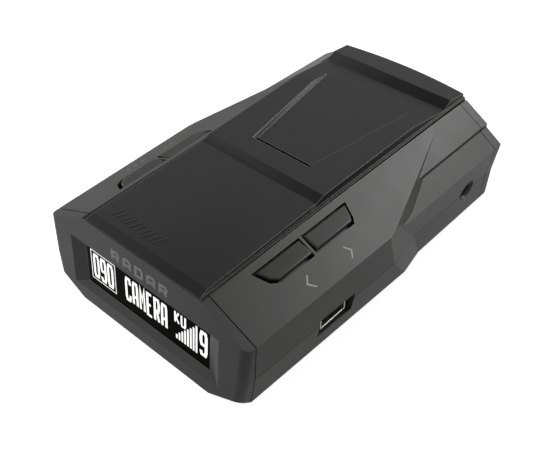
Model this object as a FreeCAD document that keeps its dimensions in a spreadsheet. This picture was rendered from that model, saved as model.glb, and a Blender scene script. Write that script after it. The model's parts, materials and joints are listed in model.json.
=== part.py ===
"""Dashboard radar detector: faceted two-piece housing, front bezel with display, glossy top cover.

The object is designed from its front: X runs across it, Y from the front face to the rear, Z upwards
from the underside of the housing. Every solid is settled with the origin moved to the middle of the
footprint, on the plane that the rubber feet stand on.
"""

import FreeCAD
import Part
import Sketcher
import math
import os

from FreeCAD import Placement, Rotation, Vector

doc = FreeCAD.newDocument("radar_detector")

# ---------------------------------------------------------------- driving dimensions
SIZES = {
    # overall
    "long": 107.0,              # front face to rear face, along the underside
    "seam_depth": 4.8,          # front face to the seam behind the bezel
    "face_lean": 0.09,          # the front face leans back by this much per mm of height
    "parting": 9.5,             # height of the seam between the two housings
    "wall": 1.8,                # housing wall
    "groove": 0.26,             # width of the shadow gaps along the seams
    "groove_depth": 1.0,
    # shoulder plane of the front body, a long slope from the deck out to the widest edge
    "deck_half": 20.6,          # half width where the shoulder meets the deck
    "deck_height": 27.1,        # height there, at the seam
    "shoulder_slope": 0.46,     # fall per mm outwards
    "deck_rise": 0.03,          # rise per mm towards the rear
    # side planes of the front body
    "side_half": 33.5,          # half width at the parting seam, at the front
    "side_lean": 0.052,         # the upper side leans out by this much per mm of height
    "side_flare": 0.027,        # and the body widens by this much per mm towards the rear
    "lower_half": 32.0,         # half width of the underside, at the front
    # bezel
    "chamfer_half": 22.7,       # half width where the lower corner chamfer starts
    "chamfer_height": 5.0,      # and its height on the side
    "corner_round": 2.1,        # radius of the bezel's upright corners
    "window_half": 25.6,        # display opening on the face
    "window_low": 4.1,
    "window_high": 19.4,
    "display_half": 21.6,       # display opening at its inner edge
    "display_low": 5.9,
    "display_high": 17.9,
    "display_depth": 1.5,       # how far the glass lies behind the face
    # transition facets, where the wide front body steps in to the rear body
    "step_upper": 59.35,        # upper facet: x + a y + b z = this
    "step_upper_y": 0.251,
    "step_upper_z": 0.503,
    "step_lower": 45.6,         # lower facet
    "step_lower_y": 0.19,
    "step_lower_z": 0.025,
    # cross-section of the rear body
    "rear_top_half": 21.7,
    "rear_top": 29.3,
    "groove_half": 29.1,
    "groove_top": 24.5,
    "groove_low": 23.3,
    "rear_wide_half": 34.2,
    "rear_wide_high": 19.7,
    "rear_seam_half": 32.6,
    "rear_low_half": 31.9,
    "rear_lean": 0.08,          # the rear face leans forward by this much per mm of height
    "rear_plate": 3.3,          # thickness of the rear frame
    # top cover
    "cover_nose": 2.75,         # front edge of the cover
    "cover_nose_top": 26.95,
    "cover_front": 5.4,         # start of the lower deck
    "cover_front_top": 27.7,
    "ramp_foot": 41.6,
    "ramp_foot_top": 29.15,
    "ramp_head": 44.4,
    "ramp_head_top": 30.15,
    "crest": 80.9,
    "crest_top": 31.45,
    "dip": 95.0,
    "dip_top": 29.95,
    "lip": 98.1,
    "lip_top": 31.65,
    "cover_end": 104.3,
    "cover_end_top": 30.95,
    "cover_bow": 2.1,           # the rear edge bows out by this much at the middle
    "lower_deck_half": 19.2,    # half widths of the flat decks
    "upper_deck_half": 19.4,
    "cover_base_half": 19.85,   # half width of the base flange at its front
    "cover_flare": 0.0165,      # which widens by this much per mm towards the rear
    "cover_seat": 1.0,          # depth of the pocket that the cover is glued into
    "cover_gap": 0.3,           # along its sides
    "nose_gap": 0.12,           # and along its front edge
    "cover_ledge": 0.05,        # top of the base flange over the housing's deck
    "recess_near": 50.5,        # trapezoid recess in the upper deck
    "recess_near_half": 9.6,
    "recess_far": 87.5,
    "recess_far_half": 15.5,
    "recess_near_floor": 29.5,
    "recess_far_floor": 30.7,
    "recess_wall": 0.8,
    "recess_slot": 1.5,         # narrow slot at the foot of the near wall
    # buttons, in the shoulder's own plane: u outwards, v rearwards, from the point between the two keys
    "key_centre": 25.0,
    "key_middle": 32.0,
    "key_inner": 2.75,
    "key_outer": 2.95,
    "key_rib": 0.35,
    "front_key_tip": 16.3,
    "front_key_bend": 14.3,
    "front_key_heel": 12.0,
    "rear_key_tip": 16.7,
    "rear_key_bend": 15.1,
    "rear_key_heel": 13.9,
    "gap_inner": 0.3,
    "gap_outer": 0.8,
    "gap_nose": 0.75,           # at each key's front end
    "gap_tail": 0.2,            # and at its rear end
    "key_raise": 0.12,          # key face over the shoulder, at its middle
    "key_tilt": 0.14,           # the face falls inwards by this much per mm, less than the shoulder
    "key_round": 0.45,          # radius around the key's face
    "key_flange": 0.55,         # retaining flange under the housing wall
    "plunger_radius": 0.8,
    # connectors
    "usb_middle": 32.8,
    "usb_height": 8.1,
    "usb_recess_long": 12.7,
    "usb_recess_high": 6.2,
    "usb_shell_wide": 9.6,
    "usb_shell_high": 4.4,
    "usb_shell_wall": 0.45,
    "usb_shell_mouth": 33.0,    # the metal shell ends this far out
    "jack_middle": 92.7,
    "jack_height": 9.7,
    "jack_radius": 2.7,
    "jack_sink_radius": 3.3,
    # inside
    "board_low": 4.7,
    "board_thick": 1.6,
    "foot_height": 0.6,
    "foot_radius": 4.0,
    "trim": 320.0,              # edge of the blocks that cut the outer planes
}

sheet = doc.addObject("Spreadsheet::Sheet", "Sizes")
for row, (alias, value) in enumerate(SIZES.items(), start=1):
    sheet.set(f"A{row}", alias)
    sheet.set(f"B{row}", str(value))
    sheet.setAlias(f"B{row}", alias)
doc.recompute()


def size(alias):
    """A driving dimension, read from the sheet."""
    return float(sheet.get(alias))


def named(text):
    """An expression on the sheet: every alias in text gets the sheet's name in front."""
    words = []
    word = ""
    for character in str(text) + " ":
        if character.isalnum() or character == "_":
            word += character
            continue
        words.append(f"Sizes.{word}" if word in SIZES else word)
        words.append(character)
        word = ""
    return "".join(words).strip()


def value_of(text):
    """The same expression worked out as a number."""
    spare = doc.getObject("Sizes")
    spare.set("D1", "=" + named(text).replace("Sizes.", ""))
    doc.recompute([spare])
    return float(spare.get("D1"))


# ---------------------------------------------------------------- small makers
def settle(made, base, turn=Rotation()):
    """Put a shape down at base, three expressions in the design frame, turned by turn."""
    made.Placement = Placement(Vector(), turn)
    shifts = ("", " - Sizes.long / 2", " + Sizes.foot_height")
    for axis, text, shift in zip("xyz", base, shifts):
        made.setExpression(f"Placement.Base.{axis}", named(text) + shift)
    return made


def box(name, low, high):
    """A block between two corners, each given as three expressions."""
    made = doc.addObject("Part::Box", name)
    for side, first, last in zip(("Length", "Width", "Height"), low, high):
        made.setExpression(side, f"({named(last)}) - ({named(first)})")
    return settle(made, low)


def bar(name, base, radius, length, axis=(0, 0, 1), last_radius=None):
    """A round bar from base along axis, or a taper when it ends in another radius."""
    made = doc.addObject("Part::Cylinder" if last_radius is None else "Part::Cone", name)
    radii = {"Radius": radius} if last_radius is None else {"Radius1": radius, "Radius2": last_radius}
    for field, text in radii.items():
        made.setExpression(field, named(text))
    made.setExpression("Height", named(length))
    return settle(made, base, Rotation(Vector(0, 0, 1), Vector(*axis)))


def frustum(name, span, near, far, turn=Rotation()):
    """A block that tapers along Y over span. near and far give x min, x max, z min and z max."""
    made = doc.addObject("Part::Wedge", name)
    fields = {"Ymin": span[0], "Ymax": span[1], "Xmin": near[0], "Xmax": near[1], "Zmin": near[2],
              "Zmax": near[3], "X2min": far[0], "X2max": far[1], "Z2min": far[2], "Z2max": far[3]}
    for field, text in fields.items():
        made.setExpression(field, named(text))
    return settle(made, ("0", "0", "0"), turn)


def fuse(name, *parts):
    """All the parts as one."""
    made = doc.addObject("Part::MultiFuse", name)
    made.Shapes = list(parts)
    return made


def cut(name, base, *tools):
    """base less each of the tools, one after another."""
    made = base
    for number, tool in enumerate(tools, start=1):
        label = name if number == len(tools) else f"{name}_cut_{number}"
        before = made
        made = doc.addObject("Part::Cut", label)
        made.Base = before
        made.Tool = tool
    return made


def common(name, base, tool):
    """What two shapes share."""
    made = doc.addObject("Part::Common", name)
    made.Base = base
    made.Tool = tool
    return made


def mirror(name, source):
    """The same piece on the other side of the middle plane."""
    made = doc.addObject("Part::Mirroring", name)
    made.Source = source
    made.Normal = Vector(1, 0, 0)
    return made


def group(name, *parts):
    """Like pieces that share one node."""
    made = doc.addObject("Part::Compound", name)
    made.Links = list(parts)
    return made


def prism(name, points, span, plane="XZ_Plane", at=("0", "0", "0"), turn=Rotation()):
    """A body padded from a polygon of paired expressions, over a span normal to the plane.

    XZ_Plane runs along Y, YZ_Plane along X and XY_Plane along Z of the body's own frame.
    """
    body = doc.addObject("PartDesign::Body", name)
    sketch = body.newObject("Sketcher::SketchObject", f"{name}_outline")
    origin = [feature for feature in body.Origin.OriginFeatures if feature.Role == plane][0]
    sketch.AttachmentSupport = [(origin, "")]
    sketch.MapMode = "FlatFace"
    backwards = plane == "XZ_Plane"
    sketch.setExpression("AttachmentOffset.Base.z", f"{'-' if backwards else ''}({named(span[0])})")
    spots = [Vector(value_of(across), value_of(along)) for across, along in points]
    count = len(spots)
    for index in range(count):
        sketch.addGeometry(Part.LineSegment(spots[index], spots[(index + 1) % count]))
    for index in range(count):
        sketch.addConstraint(Sketcher.Constraint("Coincident", index, 2, (index + 1) % count, 1))
    for index, texts in enumerate(points):
        for kind, text, value in zip(("DistanceX", "DistanceY"), texts, spots[index]):
            made = sketch.addConstraint(Sketcher.Constraint(kind, -1, 1, index, 1, value))
            sketch.setExpression(f"Constraints[{made}]", named(text))
    pad = body.newObject("PartDesign::Pad", f"{name}_pad")
    pad.Profile = sketch
    pad.setExpression("Length", f"({named(span[1])}) - ({named(span[0])})")
    pad.Reversed = backwards
    body.Tip = pad
    return settle(body, at, turn)


def both_sides(points):
    """A closed outline from its right half, listed from top to bottom."""
    return points + [(f"-({across})", along) for across, along in reversed(points)]


def beyond(name, plane):
    """A large block on the far side of a plane; cutting with it leaves the near side."""
    point, normal = plane
    made = doc.addObject("Part::Box", name)
    for side in ("Length", "Width", "Height"):
        made.setExpression(side, "Sizes.trim")
    turn = Rotation(Vector(0, 0, 1), Vector(*normal))
    half = size("trim") / 2
    corner = Vector(*point) + turn.multVec(Vector(-half, -half, 0))
    return settle(made, [str(round(value, 9)) for value in corner], turn)


def beyond_pair(name, plane):
    """That block and its mirror image on the left."""
    right = beyond(f"{name}_right", plane)
    return [right, mirror(f"{name}_left", right)]


def inset_plane(plane, inset):
    """A plane moved inwards along its normal."""
    point, normal = plane
    return tuple(Vector(*point) - Vector(*normal).normalize() * inset), normal


def plane_through(first, second, third, outward):
    """The plane through three points, its normal pointing to the same side as outward."""
    normal = (Vector(*second) - Vector(*first)).cross(Vector(*third) - Vector(*first))
    if normal.dot(Vector(*outward)) < 0:
        normal = -normal
    return first, tuple(normal)


# ---------------------------------------------------------------- the outer planes
seam, parting, wall = size("seam_depth"), size("parting"), size("wall")
rise = size("deck_rise")
low_lean = (size("side_half") - size("lower_half")) / parting

SHOULDER = (size("deck_half"), seam, size("deck_height")), (size("shoulder_slope"), -rise, 1)
DECK = (0, seam, size("deck_height")), (0, -rise, 1)
UPPER_SIDE = (size("side_half"), seam, parting), (1, -size("side_flare"), -size("side_lean"))
LOWER_SIDE = (size("side_half"), seam, parting), (1, -size("side_flare"), -low_lean)
UPPER_STEP = (size("step_upper"), 0, 0), (1, size("step_upper_y"), size("step_upper_z"))
LOWER_STEP = (size("step_lower"), 0, 0), (1, size("step_lower_y"), size("step_lower_z"))
FACE = (0, 0, 0), (0, -1, size("face_lean"))
REAR_SEAM = (0, size("long") - size("rear_plate"), 0), (0, 1, size("rear_lean"))
REAR_FACE = (0, size("long"), 0), (0, 1, size("rear_lean"))
OUTER_PLANES = {"shoulder": SHOULDER, "upper_side": UPPER_SIDE, "lower_side": LOWER_SIDE}
STEP_PLANES = {"upper_step": UPPER_STEP, "lower_step": LOWER_STEP}


def planed(name, block, planes, inset=0.0):
    """A block trimmed by side planes on both sides and by the deck plane."""
    tools = []
    for label, plane in planes.items():
        tools += beyond_pair(f"{name}_{label}", inset_plane(plane, inset))
    tools.append(beyond(f"{name}_deck", inset_plane(DECK, inset)))
    return cut(name, block, *tools)


def rear_outline(inset=0.0):
    """The rear body's cross-section, or the hollow's with an inset."""
    return both_sides([
        (f"rear_top_half - {0.6 * inset}", f"rear_top - {inset}"),
        (f"groove_half - {inset}", f"groove_top - {inset}"),
        (f"groove_half - {inset}", f"groove_low - {inset}"),
        (f"rear_wide_half - {inset}", f"rear_wide_high - {0.4 * inset}"),
        (f"rear_seam_half - {inset}", "parting"),
        (f"rear_low_half - {inset}", f"{inset}"),
    ])


# ---------------------------------------------------------------- hull and its hollow
front_block = box("front_block", ("-45", "seam_depth", "0"), ("45", "98", "40"))
front_outer = planed("front_outer", front_block, OUTER_PLANES | STEP_PLANES)
rear_outer = planed("rear_outer", prism("rear_block", rear_outline(), ("46", "112")),
                    {"shoulder": SHOULDER})
hull = cut("hull", fuse("hull_union", front_outer, rear_outer), beyond("hull_end", REAR_SEAM))

hollow_block = box("hollow_block", ("-45", "seam_depth - 2", "wall"), ("45", "90", "40"))
front_hollow = planed("front_hollow", hollow_block, OUTER_PLANES | STEP_PLANES, wall)
rear_hollow = planed("rear_hollow", prism("rear_hollow_block", rear_outline(wall), ("52", "115")),
                     {"shoulder": SHOULDER}, wall)
hollow = fuse("hollow", front_hollow, rear_hollow)
shell = cut("shell", hull, hollow)

# shadow gaps along the three seams, as deep as the core lies under the surface
depth = size("groove_depth")
core_block = box("core_block", ("-45", "-5", "-5"), ("45", "98", "40"))
front_core = planed("front_core", core_block, OUTER_PLANES | STEP_PLANES, depth)
rear_core = planed("rear_core", prism("rear_core_block", rear_outline(depth), ("50", "115")),
                   {"shoulder": SHOULDER}, depth)
rear_seam_turn = Rotation(Vector(1, 0, 0), math.degrees(math.atan(size("rear_lean"))))
rear_seam_slab = settle(doc.addObject("Part::Box", "rear_seam_slab"),
                        ("-45", "long - rear_plate", "0"), rear_seam_turn)
for side, text in (("Length", "90"), ("Width", "Sizes.groove"), ("Height", "45")):
    rear_seam_slab.setExpression(side, text)
seam_slabs = fuse("seam_slabs",
                  box("front_seam_slab", ("-45", "seam_depth - groove", "groove_depth"),
                      ("45", "seam_depth", "45")),
                  box("parting_slab", ("-45", "seam_depth", "parting"),
                      ("45", "long - rear_plate - 0.5", "parting + groove")),
                  rear_seam_slab)
seam_grooves = cut("seam_grooves", seam_slabs, front_core, rear_core)

# pocket for the top cover, one millimetre into bezel, housing and rear frame
def seat_floor(along):
    """Height of the pocket's floor, and of the cover's underside, at a distance from the front."""
    return f"deck_height - cover_seat + deck_rise * ({along} - seam_depth)"


def cover_side(spare):
    """The cover's upright side plane, with some spare width."""
    half = size("cover_base_half") + spare
    return (half, size("cover_front"), 0), (1, -size("cover_flare"), 0)


pocket_block = prism("pocket_block", [
    ("cover_nose - nose_gap", "40"), ("cover_nose - nose_gap", seat_floor("cover_nose - nose_gap")),
    ("112", seat_floor("112")), ("112", "40")], ("-30", "30"), plane="YZ_Plane")
pocket = cut("pocket", pocket_block, *beyond_pair("pocket_side", cover_side(size("cover_gap"))))

# ---------------------------------------------------------------- key slots, in the shoulder's frame
key_normal = Vector(*SHOULDER[1]).normalize()
key_across = Vector(1, 0, -size("shoulder_slope")).normalize()
key_along = key_normal.cross(key_across)
key_turn = Rotation(key_across, key_along, key_normal, "ZXY")
key_spot = ("key_centre", "key_middle",
            "deck_height - shoulder_slope * (key_centre - deck_half)"
            " + deck_rise * (key_middle - seam_depth)")


def front_key_outline(inner, outer, nose, tail):
    """The front key's outline, pulled in by four gaps."""
    return [(f"-key_inner + {inner}", f"-front_key_tip + {nose} * 1.6"),
            (f"-key_inner + {inner}", f"-key_rib - {tail}"),
            (f"key_outer - {outer}", f"-key_rib - {tail}"),
            (f"key_outer - {outer}", f"-front_key_heel + {nose} * 0.3"),
            (f"key_outer * 0.5 - {outer}", f"-front_key_bend + {nose}")]


def rear_key_outline(inner, outer, nose, tail):
    """The rear key's outline, pulled in by four gaps."""
    return [(f"-key_inner + {inner}", f"key_rib + {nose}"),
            (f"-key_inner + {inner}", f"rear_key_tip - {tail}"),
            (f"key_outer * 0.5 - {outer}", f"rear_key_bend - {tail} + 0.1"),
            (f"key_outer - {outer}", f"rear_key_heel - {tail} + 0.2"),
            (f"key_outer - {outer}", f"key_rib + {nose}")]


def key_prism(name, outline, low, high):
    """A body on the shoulder's frame, between two heights over the shoulder."""
    return prism(name, outline, (low, high), plane="XY_Plane", at=key_spot, turn=key_turn)


def key_bar(name, along, radius, low, high):
    """A round bar normal to the shoulder, under the middle of a key."""
    made = doc.addObject("Part::Cylinder", name)
    made.setExpression("Radius", named(radius))
    made.setExpression("Height", f"({named(high)}) - ({named(low)})")
    return on_shoulder(made, (0, value_of(along), value_of(low)))


def key_box(name, low, high):
    """A block square to the shoulder, between two corners in its frame."""
    made = doc.addObject("Part::Box", name)
    for side, first, last in zip(("Length", "Width", "Height"), low, high):
        made.setExpression(side, f"({named(last)}) - ({named(first)})")
    return on_shoulder(made, [value_of(text) for text in low])


def on_shoulder(made, offset):
    """Settle a primitive at an offset in the shoulder's frame."""
    away = key_turn.multVec(Vector(*offset))
    return settle(made, [f"{text} + {round(value, 9)}" for text, value in zip(key_spot, away)], key_turn)


front_slot = key_prism("front_slot", front_key_outline("0", "0", "0", "0"), "-4", "3")
rear_slot = key_prism("rear_slot", rear_key_outline("0", "0", "0", "0"), "-4", "3")
right_slots = fuse("right_slots", front_slot, rear_slot)
left_slots = mirror("left_slots", right_slots)

# ---------------------------------------------------------------- connector recesses
usb_low = "usb_height - usb_recess_high / 2"
usb_near = "usb_middle - usb_recess_long / 2"
usb_far = "usb_middle + usb_recess_long / 2"
usb_recess = box("usb_recess", ("31.2", usb_near, usb_low), ("40", usb_far, f"{usb_low} + usb_recess_high"))
usb_mouth = box("usb_mouth",
                ("26", "usb_middle - usb_shell_wide / 2 - 0.1", "usb_height - usb_shell_high / 2 - 0.1"),
                ("32", "usb_middle + usb_shell_wide / 2 + 0.1", "usb_height + usb_shell_high / 2 + 0.1"))
usb_surround_raw = box("usb_surround_raw", ("29.6", f"{usb_near} - 1.4", "wall - 0.5"),
                       ("40", f"{usb_far} + 1.4", f"{usb_low} + usb_recess_high + 1.4"))
usb_surround = common("usb_surround", usb_surround_raw, hull)
jack_spot = ("20", "jack_middle", "jack_height")
jack_hole = fuse("jack_hole",
                 bar("jack_bore", jack_spot, "jack_radius", "20", (1, 0, 0)),
                 bar("jack_sink", ("31.6", "jack_middle", "jack_height"), "jack_radius", "1.1",
                     (1, 0, 0), "jack_sink_radius"),
                 bar("jack_sink_end", ("32.7", "jack_middle", "jack_height"), "jack_sink_radius", "6",
                     (1, 0, 0)))

# ---------------------------------------------------------------- upper and lower housing
SCREWS = {"front": ("28.0", "10.2", "22.2"), "rear": ("27.0", "78", "22.6")}


def at_screws(name, radius, low, high):
    """Four bars on the housing screws' axes; a height of None reaches the boss's own top."""
    made = []
    for label, (across, along, top) in SCREWS.items():
        for side, sign in (("right", ""), ("left", "-")):
            end = top if high is None else high
            made.append(bar(f"{name}_{label}_{side}", (f"{sign}{across}", along, low), radius,
                            f"({end}) - ({low})"))
    return made


above = box("above_parting", ("-60", "-20", "parting"), ("60", "130", "60"))
below = box("below_parting", ("-60", "-20", "-10"), ("60", "130", "parting"))
board_stops = [key_box("stop_front", ("-4.2", "-19.2", "-8.4"), ("4.2", "-17.7", "-0.9")),
               key_box("stop_rear", ("-4.2", "17.7", "-8.4"), ("4.2", "19.2", "-0.9"))]
board_stops += [mirror("stop_front_left", board_stops[0]), mirror("stop_rear_left", board_stops[1])]
upper_raw = fuse("upper_raw", common("upper_shell", shell, above),
                 common("upper_surround", usb_surround, above),
                 *at_screws("upper_boss", "2.4", "parting", None), *board_stops)
upper_housing = cut("upper_housing", upper_raw, seam_grooves, pocket, right_slots, left_slots,
                    usb_recess, usb_mouth, jack_hole,
                    *at_screws("pilot", "1.15", "parting - 1", "19"))

BOARD_STUDS = [("-19", "13"), ("19", "13"), ("-19", "86"), ("17", "83")]
FEET = [("-22", "20"), ("22", "20"), ("-22", "88"), ("22", "88")]


def at_each(name, places, radius, low, high):
    """Upright bars at places on the plan."""
    return [bar(f"{name}_{number}", (across, along, low), radius, f"({high}) - ({low})")
            for number, (across, along) in enumerate(places, start=1)]


speaker_slots = [box(f"speaker_slot_{number}", (f"{3 + 3.0 * number}", "19", "-1"),
                     (f"{4.4 + 3.0 * number}", "29", "wall + 0.1")) for number in range(5)]
lower_raw = fuse("lower_raw", common("lower_shell", shell, below),
                 common("lower_surround", usb_surround, below),
                 *at_screws("lower_boss", "3.2", "0.5", "parting"),
                 *at_each("stud", BOARD_STUDS, "2.2", "wall - 0.5", "board_low"))
lower_housing = cut("lower_housing", lower_raw, usb_recess, usb_mouth, jack_hole,
                    *at_screws("screw_way", "1.3", "-1", "parting + 1"),
                    *at_screws("screw_sink", "2.3", "-1", "5"),
                    *at_each("stud_hole", BOARD_STUDS, "0.9", "wall + 0.4", "board_low + 1"),
                    *at_each("foot_seat", FEET, "foot_radius", "-1", "0.8"),
                    group("speaker_slots", *speaker_slots))


def screw(name, spot, head, shank, radii):
    """A crosshead screw on an upright axis. head and shank run from the driver's end to the other."""
    across, along = spot
    lows = [min(ends, key=value_of) for ends in (head, shank)]
    highs = [max(ends, key=value_of) for ends in (head, shank)]
    bars = [bar(f"{name}_{label}", (across, along, low), radius, f"({high}) - ({low})")
            for label, low, high, radius in zip(("head", "shank"), lows, highs, radii)]
    outer, inner = head[0], f"({head[0]}) + (({head[1]}) - ({head[0]})) * 0.6"
    low, high = sorted((outer, inner), key=value_of)
    slots = [box(f"{name}_slot_{number}", (f"{across} - {half}", f"{along} - {other}", low),
                 (f"{across} + {half}", f"{along} + {other}", high))
             for number, (half, other) in enumerate(((1.25, 0.25), (0.25, 1.25)), start=1)]
    return cut(name, fuse(f"{name}_blank", *bars), *slots)


SCREW_SPOTS = [(f"{sign}{across}", along) for across, along, _ in SCREWS.values() for sign in ("", "-")]
housing_screws = group("housing_screws", *[
    screw(f"housing_screw_{number}", spot, ("3.2", "5"), ("4.9", "18"), ("2.1", "1.1"))
    for number, spot in enumerate(SCREW_SPOTS, start=1)])
rubber_feet = group("rubber_feet", *at_each("rubber_foot", FEET, "foot_radius", "-foot_height", "0.8"))

# ---------------------------------------------------------------- bezel, glass and display
face_turn = Rotation(Vector(1, 0, 0), -math.degrees(math.atan(size("face_lean"))))


def face_box(name, low, high):
    """A block square to the leaning face: Y is the depth behind it."""
    return frustum(name, (low[1], high[1]), (low[0], high[0], low[2], high[2]),
                   (low[0], high[0], low[2], high[2]), face_turn)


low_corner = plane_through(
    (size("chamfer_half"), 0, 0), (size("side_half") + 0.4, 0.45, size("chamfer_height")),
    (size("lower_half") + 0.2, seam, 0), (1, -1, -1))
bezel_block = box("bezel_block", ("-45", "-3", "0"), ("45", "seam_depth", "40"))
bezel_planed = planed("bezel_planed", bezel_block, OUTER_PLANES)
bezel_cornered = cut("bezel_cornered", bezel_planed, beyond("bezel_face", FACE),
                     *beyond_pair("bezel_corner", low_corner))
doc.recompute()

bezel_rounded = doc.addObject("Part::Fillet", "bezel_rounded")
bezel_rounded.Base = bezel_cornered


def upright_edges(shape):
    """Numbers of the edges between the leaning face and the outer sides."""
    found = []
    for number, edge in enumerate(shape.Edges, start=1):
        ends = [vertex.Point for vertex in edge.Vertexes]
        across = min(abs(end.x) for end in ends)
        off_face = max(abs(end.y + size("long") / 2 - size("face_lean") * (end.z - size("foot_height")))
                       for end in ends)
        if across > size("lower_half") and off_face < 1e-4:
            found.append(number)
    return found


def rounded(numbers, alias):
    """The edge list of a fillet, with one radius from the sheet."""
    return [(number, size(alias), size(alias)) for number in numbers]


bezel_rounded.Edges = rounded(upright_edges(bezel_cornered.Shape), "corner_round")

funnel = frustum("window_funnel", ("-0.001", "display_depth"),
                 ("-window_half", "window_half", "window_low", "window_high"),
                 ("-display_half", "display_half", "display_low", "display_high"), face_turn)
window_way = face_box("window_way", ("-display_half", "display_depth - 0.1", "display_low"),
                      ("display_half", "9", "display_high"))
glass_seat = face_box("glass_seat", ("-23.1", "display_depth", "4.9"), ("23.1", "9", "19.1"))
bezel_relief = [face_box("relief_right", ("25", "2.2", "7"), ("31", "9", "19"))]
bezel_relief.append(mirror("relief_left", bezel_relief[0]))
front_bezel = cut("front_bezel", bezel_rounded, funnel, window_way, glass_seat, *bezel_relief,
                  seam_grooves, pocket)

display_window = face_box("display_window", ("-23", "display_depth", "5"),
                          ("23", "display_depth + 1", "19"))
display_module = face_box("display_module", ("-22.8", "display_depth + 1", "5.2"),
                          ("22.8", "display_depth + 3.2", "18.8"))
display_ribbon = prism("display_ribbon", [
    ("6.6", "11.5"), ("8.6", "11.5"), ("8.6", "6.3"), ("13", "6.3"), ("13", "6.5"), ("8.8", "6.5"),
    ("8.8", "11.7"), ("6.6", "11.7")], ("-7", "7"), plane="YZ_Plane")

# ---------------------------------------------------------------- top cover
def ledge(along):
    """Height of the cover's base flange at a distance from the front."""
    return f"deck_height + cover_ledge + deck_rise * ({along} - seam_depth)"


flange_block = prism("flange_block", [
    ("cover_nose", seat_floor("cover_nose")), ("cover_nose", "cover_nose_top"),
    ("cover_front - 1", ledge("cover_front - 1")), ("109", ledge("109")), ("109", seat_floor("109"))],
    ("-30", "30"), plane="YZ_Plane")
lower_plate_block = prism("lower_plate_block", [
    ("cover_nose", seat_floor("cover_nose")), ("cover_nose", "cover_nose_top"),
    ("cover_front", "cover_front_top"), ("ramp_foot", "ramp_foot_top"), ("48", "ramp_foot_top + 0.25"),
    ("48", seat_floor("48"))],
    ("-30", "30"), plane="YZ_Plane")
lower_wall = plane_through(
    (size("lower_deck_half"), size("cover_front"), size("cover_front_top")),
    (size("lower_deck_half") + 0.1, size("ramp_foot"), size("ramp_foot_top")),
    (size("lower_deck_half") + 0.2, size("cover_front"), size("deck_height")), (1, 0, 1))
lower_plate = cut("lower_plate", lower_plate_block, *beyond_pair("lower_wall", lower_wall))

upper_plate_block = prism("upper_plate_block", [
    ("ramp_foot - 3.5", "ramp_foot_top - 1.25"), ("ramp_head", "ramp_head_top"), ("crest", "crest_top"),
    ("dip", "dip_top"), ("lip", "lip_top"), ("109", "cover_end_top - 0.55"),
    ("109", seat_floor("109")), ("ramp_foot - 3.5", seat_floor("ramp_foot - 3.5"))],
    ("-30", "30"), plane="YZ_Plane")
upper_wall = ((size("upper_deck_half"), size("ramp_head"), size("ramp_head_top")), (1, -0.0228, 0.15))
upper_plate = cut("upper_plate", upper_plate_block, *beyond_pair("upper_wall", upper_wall))
base_flange = cut("base_flange", flange_block, *beyond_pair("flange_side", cover_side(0)))
bow_radius = (21.3 ** 2 + size("cover_bow") ** 2) / (2 * size("cover_bow"))
bow_centre = size("cover_end") + size("cover_bow") - bow_radius
bow_block = cut("bow_block", box("bow_square", ("-30", "cover_end - 4", "20"), ("30", "112", "40")),
                bar("bow_round", ("0", str(bow_centre), "19"), str(bow_radius), "22"))
cover_union = fuse("cover_union", base_flange, lower_plate, upper_plate)

recess_block = prism("recess_block", [
    ("recess_near", "40"), ("recess_near", "recess_near_floor"), ("recess_far", "recess_far_floor"),
    ("recess_far + 2.5", "recess_far_floor + 0.25"), ("recess_far + 2.5", "40")],
    ("-30", "30"), plane="YZ_Plane")
deck_slope = (size("crest_top") - size("ramp_head_top")) / (size("crest") - size("ramp_head"))
near_top = size("ramp_head_top") + deck_slope * (size("recess_near") - size("ramp_head"))
far_top = size("ramp_head_top") + deck_slope * (size("recess_far") - size("ramp_head"))
recess_side = plane_through(
    (size("recess_near_half"), size("recess_near"), near_top),
    (size("recess_far_half"), size("recess_far"), far_top),
    (size("recess_near_half") - size("recess_wall"), size("recess_near"), size("recess_near_floor")),
    (1, 0, -1))
recess = cut("recess", recess_block, *beyond_pair("recess_wall", recess_side))
recess_slot = box("recess_slot", ("0.3 - recess_near_half", "recess_near", "recess_near_floor - 0.9"),
                  ("recess_near_half - 0.3", "recess_near + recess_slot", "recess_near_floor + 0.2"))
top_cover = cut("top_cover", cover_union, recess, recess_slot, bow_block)

# ---------------------------------------------------------------- rear frame and window
rear_near = prism("rear_near", rear_outline(), ("98", "112"))
rear_plate = common("rear_plate", cut("rear_plate_cut", rear_near, beyond("rear_end", REAR_FACE)),
                    beyond("rear_start", REAR_SEAM))


def rear_box(name, low, high):
    """A block square to the leaning rear: Y is measured from the seam of the rear frame."""
    made = doc.addObject("Part::Box", name)
    for side, first, last in zip(("Length", "Width", "Height"), low, high):
        made.setExpression(side, f"({named(last)}) - ({named(first)})")
    away = rear_seam_turn.multVec(Vector(*[value_of(text) for text in low]))
    base = (str(round(away.x, 9)), f"long - rear_plate + {round(away.y, 9)}", str(round(away.z, 9)))
    return settle(made, base, rear_seam_turn)


rear_frame = cut("rear_frame", rear_plate, seam_grooves, pocket,
                 rear_box("rear_way", ("-24.5", "-2", "6.5"), ("24.5", "8", "22.5")),
                 rear_box("rear_seat", ("-26", "-2", "5"), ("26", "2.3", "24")))
rear_window = rear_box("rear_window", ("-25.9", "0.5", "5.1"), ("25.9", "2.3", "23.9"))

# ---------------------------------------------------------------- main board and what it carries

def usb_box(name, start, end, inset):
    """A block around the data socket's axis, smaller than its shell by an inset all round."""
    return box(name, (start, f"usb_middle - usb_shell_wide / 2 + {inset}",
                      f"usb_height - usb_shell_high / 2 + {inset}"),
               (end, f"usb_middle + usb_shell_wide / 2 - {inset}",
                f"usb_height + usb_shell_high / 2 - {inset}"))


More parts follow.
